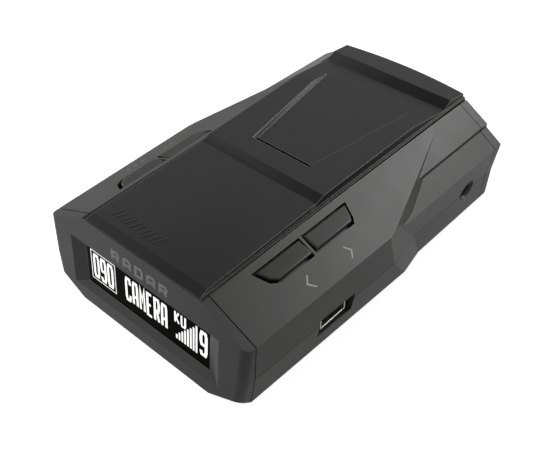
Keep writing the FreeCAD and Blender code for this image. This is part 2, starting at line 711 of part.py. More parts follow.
board_top = "board_low + board_thick"
board_plan = fuse("board_plan",
                  box("board_body", ("-23.4", "9", "board_low"), ("23.4", "98", board_top)),
                  box("board_usb_tab", ("20", "27", "board_low"), ("29", "39", board_top)),
                  box("board_jack_tab", ("20", "86", "board_low"), ("28.5", "98", board_top)))
main_board = cut("main_board", board_plan,
                 *at_each("board_hole", BOARD_STUDS, "1.2", "board_low - 1", f"{board_top} + 1"),
                 usb_box("board_notch", "21.4", "40", "-0.1"))
board_screws = group("board_screws", *[
    screw(f"board_screw_{number}", spot, (f"{board_top} + 1.2", board_top),
          (f"{board_top} + 0.1", "2.6"), ("1.9", "0.85"))
    for number, spot in enumerate(BOARD_STUDS, start=1)])
processor_chip = box("processor_chip", ("-3", "17", board_top), ("9", "29", f"{board_top} + 1.4"))
gps_antenna = box("gps_antenna", ("-23", "18", board_top), ("-5", "36", f"{board_top} + 4"))
speaker = fuse("speaker",
               bar("speaker_rim", ("9.7", "24", "wall"), "9.5", "1.6"),
               bar("speaker_magnet", ("9.7", "24", "wall + 1.5"), "6", "1.1"))
supercapacitor = bar("supercapacitor", ("-19", "44", f"{board_top} + 4"), "4", "13", (0, 1, 0))
rf_shield = cut("rf_shield",
                box("shield_outer", ("-14", "40", board_top), ("14", "60", f"{board_top} + 5")),
                box("shield_inner", ("-13.6", "40.4", f"{board_top} - 1"),
                    ("13.6", "59.6", f"{board_top} + 4.6")))
horn_outer = fuse("horn_outer",
                  box("horn_guide", ("-8", "63", board_top), ("8", "75", "16")),
                  frustum("horn_flare", ("74.9", "98"), ("-8", "8", board_top, "16"),
                          ("-13", "13", board_top, "20.5")))
horn_antenna = cut("horn_antenna", horn_outer,
                   box("horn_guide_inside", ("-7.2", "66", "7.1"), ("7.2", "75.2", "15.2")),
                   frustum("horn_flare_inside", ("75", "98.1"), ("-7.2", "7.2", "7.1", "15.2"),
                           ("-12.3", "12.3", "7.1", "19.8")))
laser_sensor = box("laser_sensor", ("-23", "90.5", board_top), ("-13.5", "95.5", "20"))
laser_lens = bar("laser_lens", ("-18.25", "95.5", "15"), "4.6", "3.4", (0, 1, 0), "3.6")

usb_socket = cut("usb_socket", usb_box("usb_shell", "21.5", "usb_shell_mouth", "0"),
                 usb_box("usb_cavity", "24", "usb_shell_mouth + 1", "usb_shell_wall"))
usb_tongue = box("usb_tongue", ("24", "usb_middle - 3.3", "usb_height - 0.35"),
                 ("31.8", "usb_middle + 3.3", "usb_height + 0.35"))
dc_jack = cut("dc_jack",
              fuse("jack_body",
                   box("jack_block", ("19.5", "jack_middle - 4.5", board_top),
                       ("30.2", "jack_middle + 4.5", "jack_height + 3.4")),
                   bar("jack_barrel", ("29.9", "jack_middle", "jack_height"), "2.6", "1.6", (1, 0, 0))),
              bar("jack_socket", ("22.5", "jack_middle", "jack_height"), "1.75", "12", (1, 0, 0)))
dc_jack_pin = bar("dc_jack_pin", ("22.5", "jack_middle", "jack_height"), "0.6", "8.2", (1, 0, 0))

# ---------------------------------------------------------------- buttons, switches and their boards
STEM_LOW = "-6"
SWITCH_LOW, SWITCH_HIGH = "-7", "-5"
front_middle = "-(front_key_tip + key_rib) / 2 + 0.8"
rear_middle = "(rear_key_tip + key_rib) / 2 - 0.8"


key_plane = (Vector(*[value_of(text) for text in key_spot]) + key_normal * size("key_raise"),
             key_normal - key_across * size("key_tilt"))


def button(name, outline, middle):
    """A key with a retaining flange inside the housing and a stem that presses its switch."""
    blank = key_prism(f"{name}_blank", outline("gap_inner", "gap_outer", "gap_nose", "gap_tail"),
                      "-2.5", "2")
    trimmed = cut(f"{name}_trimmed", blank, beyond(f"{name}_over", key_plane))
    doc.recompute()
    cap = doc.addObject("Part::Fillet", f"{name}_cap")
    cap.Base = trimmed
    cap.Edges = rounded(top_edges(trimmed.Shape, key_plane[1]), "key_round")
    flange = key_prism(f"{name}_flange", outline("-0.55", "-0.45", "-0.3", "-0.3"),
                       "-wall - 0.15 - key_flange", "-wall - 0.15")
    stem = key_bar(f"{name}_stem", middle, "plunger_radius", STEM_LOW, "-2.4")
    return fuse(name, cap, flange, stem)


def top_edges(shape, normal):
    """Numbers of the edges around the flat face with that normal."""
    face = max(shape.Faces, key=lambda each: each.normalAt(0, 0).dot(Vector(normal).normalize()))
    return [number for number, edge in enumerate(shape.Edges, start=1)
            if any(edge.isSame(other) for other in face.Edges)]


def tact_switch(name, middle):
    """A square switch with a hole for the key's stem."""
    body = key_box(f"{name}_block", ("-2.6", f"{middle} - 2.6", SWITCH_LOW),
                   ("2.6", f"{middle} + 2.6", SWITCH_HIGH))
    return cut(name, body, key_bar(f"{name}_hole", middle, "plunger_radius + 0.1", "-6.8", "-4.5"))


right_button_front = button("right_button_front", front_key_outline, front_middle)
right_button_rear = button("right_button_rear", rear_key_outline, rear_middle)
left_button_front = mirror("left_button_front", right_button_front)
left_button_rear = mirror("left_button_rear", right_button_rear)
switch_front = tact_switch("switch_front", front_middle)
switch_rear = tact_switch("switch_rear", rear_middle)
tact_switches = group("tact_switches", switch_front, switch_rear,
                      mirror("switch_front_left", switch_front), mirror("switch_rear_left", switch_rear))
button_board_right = key_box("button_board_right", ("-3.5", "-17.7", "-7.8"), ("3.5", "17.7", SWITCH_LOW))
button_board_left = mirror("button_board_left", button_board_right)

# ---------------------------------------------------------------- check and export
NODES = [upper_housing, lower_housing, front_bezel, display_window, display_module, display_ribbon,
         top_cover, rear_frame, rear_window, laser_lens, laser_sensor, horn_antenna, rf_shield,
         main_board, processor_chip, gps_antenna, speaker, supercapacitor, right_button_front,
         right_button_rear, left_button_front, left_button_rear, tact_switches, button_board_right,
         button_board_left, usb_socket, usb_tongue, dc_jack, dc_jack_pin, board_screws,
         housing_screws, rubber_feet]

doc.recompute()
for item in doc.Objects:
    if "Invalid" in item.State or "Error" in item.State:
        raise RuntimeError(f"{item.Label} did not compute: {item.State}")
for node in NODES:
    if node.Shape.isNull() or not node.Shape.isValid():
        raise RuntimeError(f"{node.Label} has no valid shape")

os.makedirs("parts", exist_ok=True)
for node in NODES:
    node.Shape.exportStep(f"parts/{node.Label}.step")
print(f"{len(NODES)} sub-parts written")
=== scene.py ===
"""Radar detector: rounded edges, finishes, display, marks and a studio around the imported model."""

import json
import math

import bmesh
import bpy
from bpy.props import FloatProperty, FloatVectorProperty, PointerProperty
from bpy.types import Operator, Panel, PropertyGroup
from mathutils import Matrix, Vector
from mathutils.bvhtree import BVHTree

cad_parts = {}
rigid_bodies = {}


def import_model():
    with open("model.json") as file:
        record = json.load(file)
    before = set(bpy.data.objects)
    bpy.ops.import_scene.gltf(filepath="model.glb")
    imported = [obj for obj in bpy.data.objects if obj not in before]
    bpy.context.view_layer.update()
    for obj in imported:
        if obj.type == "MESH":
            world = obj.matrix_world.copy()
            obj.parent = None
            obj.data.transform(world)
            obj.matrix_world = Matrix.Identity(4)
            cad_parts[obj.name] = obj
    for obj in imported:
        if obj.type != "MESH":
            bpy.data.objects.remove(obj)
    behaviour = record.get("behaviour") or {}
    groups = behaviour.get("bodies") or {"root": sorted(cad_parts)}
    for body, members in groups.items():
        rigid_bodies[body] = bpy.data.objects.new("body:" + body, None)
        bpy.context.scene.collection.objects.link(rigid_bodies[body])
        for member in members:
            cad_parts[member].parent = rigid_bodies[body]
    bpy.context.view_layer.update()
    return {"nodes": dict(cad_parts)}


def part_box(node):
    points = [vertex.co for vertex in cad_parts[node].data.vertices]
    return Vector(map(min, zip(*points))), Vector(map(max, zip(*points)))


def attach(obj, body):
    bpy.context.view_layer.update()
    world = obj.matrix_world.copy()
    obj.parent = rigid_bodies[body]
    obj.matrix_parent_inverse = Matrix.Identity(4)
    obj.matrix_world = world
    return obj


for leftover in list(bpy.data.objects):
    bpy.data.objects.remove(leftover)
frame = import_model()

bl_info = {
    "name": "Radar Detector",
    "version": (1, 0, 0),
    "blender": (4, 5, 0),
    "location": "View3D > Sidebar > Detector",
    "description": "Finishes a dashboard radar detector and sets its studio",
    "category": "Object",
}

MM = 0.001
BODY = "housing"
# What the softbox shines on: everything but the floor
LIT = "lit_by_softbox"
# The leaning face of the bezel and its glass, in millimetres above the underside of the housing
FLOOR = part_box("lower_housing")[0].z / MM
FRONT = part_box("front_bezel")[0].y / MM
GRAIN = 0.12                 # spacing of the moulded texture, in millimetres
FLOOR_HALF = 6.0             # from the middle of the studio floor to its edge, in metres


# ---------------------------------------------------------------- settings
class DetectorColours(PropertyGroup):
    """Colours of the visible plastics and prints."""

    housing: FloatVectorProperty(
        name="Housing", description="Moulded housing, rear frame and keys", subtype="COLOR",
        size=3, min=0, max=1, default=(0.0165, 0.0160, 0.0150))
    bezel: FloatVectorProperty(
        name="Bezel", description="Front bezel", subtype="COLOR",
        size=3, min=0, max=1, default=(0.0125, 0.0125, 0.0122))
    cover: FloatVectorProperty(
        name="Top cover", description="Black top cover", subtype="COLOR",
        size=3, min=0, max=1, default=(0.0030, 0.0030, 0.0029))
    # Painted highlight: a light colour painted on the top cover's sharp edges, standing in for the light
    # they catch
    cover_edge_highlight: FloatVectorProperty(
        name="Cover's edges", description="Polished sharp edges of the top cover", subtype="COLOR",
        size=3, min=0, max=1, default=(0.20, 0.20, 0.195))
    glow: FloatVectorProperty(
        name="Display", description="Lit segments of the display", subtype="COLOR",
        size=3, min=0, max=1, default=(1.0, 1.0, 0.99))
    print_grey: FloatVectorProperty(
        name="Print", description="Printed marks on the shoulders", subtype="COLOR",
        size=3, min=0, max=1, default=(0.30, 0.30, 0.30))


class DetectorEdges(PropertyGroup):
    """Radii of the moulded edges."""

    housing: FloatProperty(
        name="Housing edge", description="Radius of the lower housing's and bezel's edges", unit="LENGTH",
        default=0.10 * MM, min=0, max=1 * MM)
    cover: FloatProperty(
        name="Cover edge", description="Radius of the top cover's edges", unit="LENGTH",
        default=0.19 * MM, min=0, max=1 * MM)
    rear_frame: FloatProperty(
        name="Rear frame edge", description="Radius of the rear frame's edges", unit="LENGTH",
        default=0.55 * MM, min=0, max=1 * MM)
    small: FloatProperty(
        name="Small edge", description="Radius of the edges on small inner pieces", unit="LENGTH",
        default=0.08 * MM, min=0, max=1 * MM)


class DetectorStudio(PropertyGroup):
    """Camera, floor and lights."""

    azimuth: FloatProperty(
        name="Azimuth", description="Camera's angle round the detector, from the front",
        subtype="ANGLE", default=math.radians(41.9))
    elevation: FloatProperty(
        name="Elevation", description="Camera's angle above the floor", subtype="ANGLE",
        default=math.radians(41.45))
    distance: FloatProperty(
        name="Distance", description="Camera to the aim point", unit="LENGTH", default=222.33 * MM)
    lens: FloatProperty(
        name="Lens", description="Focal length in millimetres on a 36 mm sensor", default=53.2)
    aim: FloatVectorProperty(
        name="Aim point", description="Where the camera points", subtype="TRANSLATION", size=3,
        default=(0.0, -4.94 * MM, 7.15 * MM))
    sky: FloatProperty(
        name="Surroundings", description="Strength of the pale surroundings", default=1.0, min=0)
    floor_glow: FloatProperty(
        name="Floor glow", description="Light from under the translucent floor", default=0.75, min=0)
    softbox: FloatProperty(
        name="Softbox", description="Power of the light behind the detector", subtype="POWER",
        default=1.05, min=0)


# ---------------------------------------------------------------- shader maths
class Value:
    """A socket's value. Python's operators on it add Math nodes to its tree."""

    def __init__(self, nodes, socket):
        self.nodes = nodes
        self.socket = socket

    def maths(self, operation, first, second=0.0):
        return self.nodes.node("ShaderNodeMath", {"operation": operation}, {0: first, 1: second})

    def __add__(self, other):
        return self.maths("ADD", self, other)

    def __sub__(self, other):
        return self.maths("SUBTRACT", self, other)

    def __rsub__(self, other):
        return self.maths("SUBTRACT", other, self)

    def __mul__(self, other):
        return self.maths("MULTIPLY", self, other)

    __radd__ = __add__
    __rmul__ = __mul__


class Nodes:
    """A node tree, and the ways to add to it."""

    def __init__(self, tree):
        self.tree = tree

    def feed(self, socket, value):
        """Links a Value to a socket, or sets the socket to a number or a colour."""
        if isinstance(value, Value):
            self.tree.links.new(value.socket, socket)
        elif socket.type == "RGBA":
            socket.default_value = (*value, 1.0) if len(value) == 3 else value
        else:
            socket.default_value = value

    def node(self, kind, settings=None, sockets=None, output=0):
        """Adds a node: its settings first, then its sockets. Returns one of its outputs."""
        made = self.tree.nodes.new(kind)
        for word, value in (settings or {}).items():
            setattr(made, word, value)
        for word, value in (sockets or {}).items():
            self.feed(made.inputs[word], value)
        return Value(self, made.outputs[output])

    def ramp(self, value, low, high):
        """0 below low and 1 above high."""
        return self.node("ShaderNodeMapRange", {"interpolation_type": "SMOOTHSTEP"},
                         {"Value": value, "From Min": low, "From Max": high})

    def grey(self, value):
        """A value as a colour."""
        return self.node("ShaderNodeCombineColor", None, {"Red": value, "Green": value, "Blue": value})

    def mix(self, mask, first, second):
        """The first colour where mask is 0, and the second where it is 1."""
        return self.node("ShaderNodeMix", {"data_type": "RGBA"}, {0: mask, 6: first, 7: second}, 2)


class Paint(Nodes):
    """A material: its shader and the nodes that feed it."""

    def __init__(self, name, **constants):
        self.material = bpy.data.materials.new(name)
        self.material.use_nodes = True
        super().__init__(self.material.node_tree)
        self.tree.nodes.clear()
        self.shader = self.tree.nodes.new("ShaderNodeBsdfPrincipled")
        output = self.tree.nodes.new("ShaderNodeOutputMaterial")
        self.tree.links.new(self.shader.outputs["BSDF"], output.inputs["Surface"])
        for word, value in constants.items():
            self.feed(self.shader.inputs[word.replace("_", " ").title().replace("Ior", "IOR")], value)

    def place(self):
        """The surface's place in the detector's frame, in metres."""
        return self.node("ShaderNodeTexCoord", output="Object")

    def noise(self, size, detail=2.0, stretch=(1, 1, 1)):
        """Cloudy variation from 0 to 1. size is the width of a cloud in millimetres."""
        where = self.node("ShaderNodeVectorMath", {"operation": "MULTIPLY"},
                          {0: self.place(), 1: stretch})
        return self.node("ShaderNodeTexNoise", None,
                         {"Vector": where, "Scale": 1 / (size * MM), "Detail": detail})

    def cells(self, size, feature="F1"):
        """Distance to scattered points, for grains and pits. size is in millimetres."""
        return self.node("ShaderNodeTexVoronoi", {"feature": feature},
                         {"Vector": self.place(), "Scale": 1 / (size * MM)}, "Distance")

    def bump(self, height, depth):
        """Relief: height from 0 to 1 over a depth in millimetres."""
        relief = self.node("ShaderNodeBump", None, {"Height": height, "Distance": depth * MM}, "Normal")
        self.set("Normal", relief)

    def set(self, word, value):
        """Feeds one of the shader's own sockets."""
        self.feed(self.shader.inputs[word], value)
        return self


def shade(colour, factor):
    """A colour made lighter or darker."""
    return tuple(channel * factor for channel in colour)


def moulded_plastic(name, colour, rough, grain=GRAIN, depth=0.006, sheen=0.5, edge=None, sharp=0.004):
    """Textured plastic: fine sparked grain, faint flow clouds, and lighter edges: wear polished by
    handling and a painted highlight where rounded edges would catch the light.
    """
    paint = Paint(name, ior=1.5, specular_ior_level=sheen)
    edge = edge or shade(colour, 2.2)
    clouds = paint.noise(9.0, 3.0)
    speckle = paint.noise(grain * 2.2, 2.0)
    worn_and_highlit = edge_wear_and_highlight(paint, sharp)
    tone = paint.mix(clouds * 0.6 + speckle * 0.4, shade(colour, 0.86), shade(colour, 1.14))
    # Painted highlight and wear: the edges are lightened towards the edge colour
    paint.set("Base Color", paint.mix(worn_and_highlit * 0.75, tone, edge))
    paint.set("Roughness", rough + (clouds - 0.5) * 0.10 + (speckle - 0.5) * 0.05 - worn_and_highlit * 0.08)
    paint.bump(paint.cells(grain) * 0.6 + speckle * 0.4, depth)
    return paint.material


def edge_wear_and_highlight(paint, sharp, radius=0.35):
    """1 on the edges of a piece that turn by more than sharp stands for, and 0 on its flats: the mask of
    handling wear and of the painted edge highlight.
    """
    rounded = paint.node("ShaderNodeBevel", {"samples": 4}, {"Radius": radius * MM})
    flat = paint.node("ShaderNodeNewGeometry", output="Normal")
    alike = paint.node("ShaderNodeVectorMath", {"operation": "DOT_PRODUCT"}, {0: rounded, 1: flat},
                       "Value")
    return paint.ramp(1 - alike, sharp, sharp + 0.09) * paint.ramp(paint.noise(1.6, 3.0), 0.10, 0.45)


def gloss_plastic(name, colour, rough=0.09, coat=0.0, level=0.5):
    """Polished plastic: faint ripple, dust specks and hairline scuffs."""
    paint = Paint(name, ior=1.49, coat_weight=coat, coat_roughness=0.05, specular_ior_level=level)
    scuffs = paint.ramp(paint.noise(0.5, 4.0, (1, 0.07, 1)), 0.60, 0.80)
    dust = 1 - paint.ramp(paint.cells(1.3), 0.02, 0.05)
    paint.set("Base Color", paint.mix(dust * 0.5, colour, (0.10, 0.10, 0.10)))
    paint.set("Roughness", rough + scuffs * 0.05 + dust * 0.2)
    paint.bump(paint.noise(14.0, 1.0), 0.012)
    return paint.material


def metal(name, colour, rough, stretch=(1, 1, 1), grain=0.2):
    """Plated or cast metal with a drawn or cast grain and dull patches."""
    paint = Paint(name, metallic=1.0)
    grains = paint.noise(grain, 3.0, stretch)
    patches = paint.noise(2.5, 3.0)
    paint.set("Base Color", paint.mix(patches, shade(colour, 0.82), colour))
    paint.set("Roughness", rough + (grains - 0.5) * 0.18 + (patches - 0.5) * 0.12)
    paint.bump(grains, 0.004)
    return paint.material


# ---------------------------------------------------------------- shapes
def rounded_edges(node, radius, angle=24.0, segments=3):
    """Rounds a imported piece's edges with modifiers, so that they catch the light."""
    piece = frame["nodes"][node]
    weld = piece.modifiers.new("weld", "WELD")
    weld.merge_threshold = 0.002 * MM
    flats = piece.modifiers.new("flats", "DECIMATE")
    flats.decimate_type = "DISSOLVE"
    flats.angle_limit = math.radians(0.4)
    bevel = piece.modifiers.new("edges", "BEVEL")
    bevel.width = radius
    bevel.segments = segments
    bevel.limit_method = "ANGLE"
    bevel.angle_limit = math.radians(angle)
    bevel.miter_outer = "MITER_ARC"
    bevel.harden_normals = True
    return piece


def finish(node, material):
    """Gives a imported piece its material."""
    piece = frame["nodes"][node]
    piece.data.materials.clear()
    piece.data.materials.append(material)


class Skin:
    """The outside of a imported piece, to lay flat marks on. across and up are in millimetres."""

    def __init__(self, node, from_front):
        piece = frame["nodes"][node]
        corners = [vertex.co for vertex in piece.data.vertices]
        self.tree = BVHTree.FromPolygons(corners, [face.vertices for face in piece.data.polygons])
        self.from_front = from_front

    def at(self, across, up, lift):
        """The point on the piece at a place seen from the front or from above, lifted off it."""
        if self.from_front:
            start = Vector((across, 2 * FRONT, up + FLOOR)) * MM
            heading = Vector((0, 1, 0))
        else:
            start = Vector((across, up + FRONT, 100)) * MM
            heading = Vector((0, 0, -1))
        spot, normal, _, _ = self.tree.ray_cast(start, heading)
        if spot is None:
            raise RuntimeError(f"no surface at {across}, {up}")
        if normal.dot(heading) > 0:
            normal = -normal
        return spot + normal * lift * MM


def mitred(points, width, closed):
    """The two sides of a stroke along a path of 2D points."""
    sides = []
    count = len(points)
    for index, point in enumerate(points):
        before = points[index - 1] if index or closed else None
        after = points[(index + 1) % count] if index < count - 1 or closed else None
        inward = (point - before).normalized() if before is not None else None
        outward = (after - point).normalized() if after is not None else None
        heading = inward if outward is None else outward if inward is None else inward + outward
        heading = heading.normalized()
        normal = Vector((-heading.y, heading.x))
        along = inward if inward is not None else outward
        cosine = max(0.35, abs(Vector((-along.y, along.x)).dot(normal)))
        reach = normal * (width / 2 / cosine)
        sides.append((point + reach, point - reach))
    return sides


def add_stroke(mesh, skin, points, width, closed, lift, sink=0.03):
    """A stroke as a thin closed strip that lies on the skin."""
    sides = mitred([Vector(point) for point in points], width, closed)
    rings = []
    for left, right in sides:
        rings.append([mesh.verts.new(skin.at(side.x, side.y, height))
                      for side, height in ((left, lift), (right, lift), (right, -sink), (left, -sink))])
    count = len(rings)
    for index in range(count if closed else count - 1):
        first, last = rings[index], rings[(index + 1) % count]
        for corner in range(4):
            following = (corner + 1) % 4
            mesh.faces.new((first[corner], first[following], last[following], last[corner]))
    if not closed:
        mesh.faces.new(rings[0])
        mesh.faces.new(rings[-1][::-1])


def strokes(name, skin, paths, material, lift=0.02):
    """A piece made of strokes. A path is its points, its width and whether it closes."""
    mesh = bmesh.new()
    for points, width, closed in paths:
        add_stroke(mesh, skin, points, width, closed, lift)
    bmesh.ops.recalc_face_normals(mesh, faces=mesh.faces)
    data = bpy.data.meshes.new(name)
    mesh.to_mesh(data)
    mesh.free()
    data.materials.append(material)
    piece = bpy.data.objects.new(name, data)
    bpy.context.scene.collection.objects.link(piece)
    bpy.data.collections[LIT].objects.link(piece)
    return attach(piece, BODY)


# Letters as strokes in a unit square: each is a list of (points, closes). Corners are cut by C.
C = 0.16
LETTERS = {
    "0": [([(C, 0), (1 - C, 0), (1, C), (1, 1 - C), (1 - C, 1), (C, 1), (0, 1 - C), (0, C)], True)],
    "9": [([(0, C), (C, 0), (1 - C, 0), (1, C), (1, 1 - C), (1 - C, 1), (C, 1), (0, 1 - C),
            (0, 0.45 + C), (C, 0.45), (1, 0.45)], False)],
    "A": [([(0, 0), (0, 1 - C), (C, 1), (1 - C, 1), (1, 1 - C), (1, 0)], False),
          ([(0, 0.36), (1, 0.36)], False)],
    "C": [([(1, 0.25), (1, C), (1 - C, 0), (C, 0), (0, C), (0, 1 - C), (C, 1), (1 - C, 1),
            (1, 1 - C), (1, 0.75)], False)],
    "D": [([(0, 0), (1 - C, 0), (1, C), (1, 1 - C), (1 - C, 1), (0, 1)], True)],
    "E": [([(1, 0), (0, 0), (0, 1), (1, 1)], False), ([(0, 0.5), (0.8, 0.5)], False)],
    "K": [([(0, 0), (0, 1)], False), ([(1, 1), (0.25, 0.5), (1, 0)], False)],
    "M": [([(0, 0), (0, 1), (0.5, 0.45), (1, 1), (1, 0)], False)],
    "R": [([(0, 0), (0, 1), (1 - C, 1), (1, 1 - C), (1, 0.46 + C), (1 - C, 0.46), (0.1, 0.46)], False),
          ([(0.5, 0.46), (1, 0)], False)],
    "U": [([(0, 1), (0, C), (C, 0), (1 - C, 0), (1, C), (1, 1)], False)],
}


def lettering(word, low, high, stroke, gap):
    """Strokes of a word between two corners. stroke is the strokes' width and gap the letters' spacing."""
    (left, bottom), (right, top) = low, high
    wide = (right - left + gap) / len(word) - gap
    paths = []
    for index, letter in enumerate(word):
        start = left + index * (wide + gap) + stroke / 2
        for points, closed in LETTERS[letter]:
            placed = [(start + x * (wide - stroke), bottom + stroke / 2 + y * (top - bottom - stroke))
                      for x, y in points]
            paths.append((placed, stroke, closed))
    return paths


# ---------------------------------------------------------------- operators
def settings():
    """The three groups of settings."""
    scene = bpy.context.scene
    return scene.detector_colours, scene.detector_edges, scene.detector_studio


class DETECTOR_OT_housing(Operator):
    """Finishes the upper and lower housing and the rear frame."""

    bl_idname = "detector.housing"
    bl_label = "Housing"

    def execute(self, context):
        colours, edges, _ = settings()
        plastic = moulded_plastic("housing_plastic", colours.housing, 0.44)
        # The upper housing keeps the edges it was packed with: rounding them tears its key slots
        rounded_edges("lower_housing", edges.housing)
        rounded_edges("rear_frame", edges.rear_frame)
        for node in ("upper_housing", "lower_housing", "rear_frame"):
            finish(node, plastic)
        return {"FINISHED"}


class DETECTOR_OT_bezel(Operator):
    """Finishes the front bezel."""

    bl_idname = "detector.bezel"
    bl_label = "Front bezel"

    def execute(self, context):
        colours, edges, _ = settings()
        rounded_edges("front_bezel", edges.housing)
        finish("front_bezel", moulded_plastic("bezel_plastic", colours.bezel, 0.46, grain=0.10))
        return {"FINISHED"}


class DETECTOR_OT_cover(Operator):
    """Finishes the black top cover."""

    bl_idname = "detector.cover"
    bl_label = "Top cover"

    def execute(self, context):
        colours, edges, _ = settings()
        # The cover's sharp edges are painted with the light highlight colour
        rounded_edges("top_cover", edges.cover, angle=12.0)
        finish("top_cover", moulded_plastic("cover_plastic", colours.cover, 0.30, grain=0.08,
                                            depth=0.002, edge=colours.cover_edge_highlight, sharp=0.03))
        return {"FINISHED"}


class DETECTOR_OT_keys(Operator):
    """Finishes the four keys."""

    bl_idname = "detector.keys"
    bl_label = "Keys"

    def execute(self, context):
        colours, edges, _ = settings()
        plastic = moulded_plastic("button_plastic", shade(colours.housing, 0.8), 0.40)
        for side in ("right", "left"):
            for end in ("front", "rear"):
                node = f"{side}_button_{end}"
                rounded_edges(node, edges.small)
                finish(node, plastic)
        return {"FINISHED"}


class DETECTOR_OT_display(Operator):
    """Finishes the display window and lights what it shows."""

    bl_idname = "detector.display"
    bl_label = "Display"

    def execute(self, context):
        colours, edges, _ = settings()
        rounded_edges("display_window", edges.small)
        finish("display_window", gloss_plastic("display_glass", (0.0012, 0.0010, 0.0008), 0.06,
                                               level=0.01))
        rounded_edges("display_module", edges.small)
        finish("display_module", gloss_plastic("display_panel", (0.01, 0.01, 0.011), 0.2))
        ribbon = metal("ribbon", (0.50, 0.27, 0.08), 0.35, (1, 0.05, 1), 0.5)
        finish("display_ribbon", ribbon)
        lit = lit_segments(colours.glow)
        glass = Skin("display_window", True)
        low, high, thick = 8.5, 16.1, 0.80
        box_path = [(-20.2, 7.8), (-11.1, 7.8), (-11.1, 16.8), (-20.2, 16.8)]
        strokes("display_speed", glass,
                [(box_path, 0.22, True)] + lettering("090", (-19.5, low), (-11.8, high), thick, 0.35),
                lit)
        strokes("display_word", glass, lettering("CAMERA", (-7.4, low), (7.6, high), 0.78, 0.36),
                lit)
        strokes("display_band", glass, lettering("KU", (10.0, 12.9), (13.9, 16.7), 0.56, 0.36),
                lit)
        bars = [([(10.75 + 0.94 * number, 8.1), (10.75 + 0.94 * number, 9.4 + 1.02 * number)], 0.56, False)
                for number in range(8)]
        strokes("display_bars", glass, bars, lit)
        strokes("display_count", glass, lettering("9", (18.3, 8.6), (20.9, 16.4), 0.90, 0.4),
                lit)
        return {"FINISHED"}


def lit_segments(colour):
    """Lit pixels of the display: white, split by the fine dark lines of the dot matrix."""
    paint = Paint("display_segments", base_color=(0.02, 0.02, 0.02), roughness=0.3,
                  emission_strength=1.15)
    dots = paint.cells(0.09)
    paint.set("Emission Color", paint.mix(paint.ramp(dots, 0.35, 0.75), colour, shade(colour, 0.86)))
    return paint.material


class DETECTOR_OT_marks(Operator):
    """Prints the arrows, the word on the bezel and the bars on the cover."""

    bl_idname = "detector.marks"
    bl_label = "Printed marks"

    def execute(self, context):
        colours, _, _ = settings()
        ink = printed_ink("print_ink", colours.print_grey)
        shoulder = Skin("upper_housing", False)
        back = [(29.7, 26.3), (31.2, 24.7), (32.8, 26.2)]
        onward = [(30.1, 38.9), (31.7, 40.1), (33.2, 38.7)]
        strokes("arrow_marks_right", shoulder, [(back, 0.34, False), (onward, 0.34, False)],
                ink, 0.008)
        faint = printed_ink("faint_ink", shade(colours.print_grey, 0.5))
        dots = [([(-31.0, along), (-31.0, along + 0.8)], 0.8, False) for along in (25.0, 27.4, 29.8)]
        dots += [([(-31.0, along), (-29.9, along)], 0.3, False) for along in (38.0, 39.2, 40.4)]
        strokes("volume_marks_left", shoulder, dots, faint, 0.008)
        dim = printed_ink("bezel_ink", shade(colours.print_grey, 0.42))
        strokes("bezel_word", Skin("front_bezel", True),
                lettering("RADAR", (-10.0, 20.7), (9.6, 23.9), 0.75, 1.2), dim, 0.008)
        slant = 1.4
        rails = []
        for number in range(5):
            left = -15.6 + number * 3.4
            rails.append(([(left + slant, 10.4), (left, 7.4)], 0.45, False))
            rails.append(([(left + slant + 1.5, 10.4), (left + 1.5, 7.4)], 0.45, False))
        strokes("cover_bars", Skin("top_cover", False), rails,
                gloss_plastic("cover_mark", shade(colours.cover, 1.3), 0.16), 0.09)
        return {"FINISHED"}


def printed_ink(name, colour):
    """Pad-printed ink: slightly uneven cover over the grain."""
    paint = Paint(name, ior=1.5)
    cover = paint.noise(0.35, 3.0)
    paint.set("Base Color", paint.mix(cover, shade(colour, 0.75), shade(colour, 1.2)))
    paint.set("Roughness", 0.5 + (cover - 0.5) * 0.15)
    paint.bump(paint.cells(GRAIN), 0.004)
    return paint.material


class DETECTOR_OT_connectors(Operator):
    """Finishes the data socket and the power inlet."""

    bl_idname = "detector.connectors"
    bl_label = "Sockets"

    def execute(self, context):
        _, edges, _ = settings()
        rounded_edges("usb_socket", 2 * edges.small)
        finish("usb_socket", metal("connector_metal", (0.72, 0.70, 0.66), 0.26, (0.1, 1, 1)))
        black = moulded_plastic("connector_plastic", (0.006, 0.006, 0.006), 0.42, grain=0.06,
                                depth=0.002, sheen=0.12)
        for node in ("usb_tongue", "dc_jack"):
            rounded_edges(node, edges.small)
            finish(node, black)
        rounded_edges("dc_jack_pin", edges.small)
        finish("dc_jack_pin", metal("connector_pin", (0.83, 0.68, 0.36), 0.22))
        return {"FINISHED"}


class DETECTOR_OT_rear(Operator):
    """Finishes the rear window and what looks through it."""

    bl_idname = "detector.rear"
    bl_label = "Rear window"

    def execute(self, context):
        _, edges, _ = settings()
        rounded_edges("rear_window", edges.small)
        finish("rear_window", gloss_plastic("dark_window", (0.006, 0.003, 0.004), 0.07, 0.2))
        lens = gloss_plastic("clear_lens", (0.42, 0.46, 0.52), 0.04, 0.5)
        rounded_edges("laser_lens", edges.small)
        finish("laser_lens", lens)
        rounded_edges("laser_sensor", edges.small)
        finish("laser_sensor", moulded_plastic("sensor_plastic", (0.014, 0.014, 0.016), 0.5))
        return {"FINISHED"}


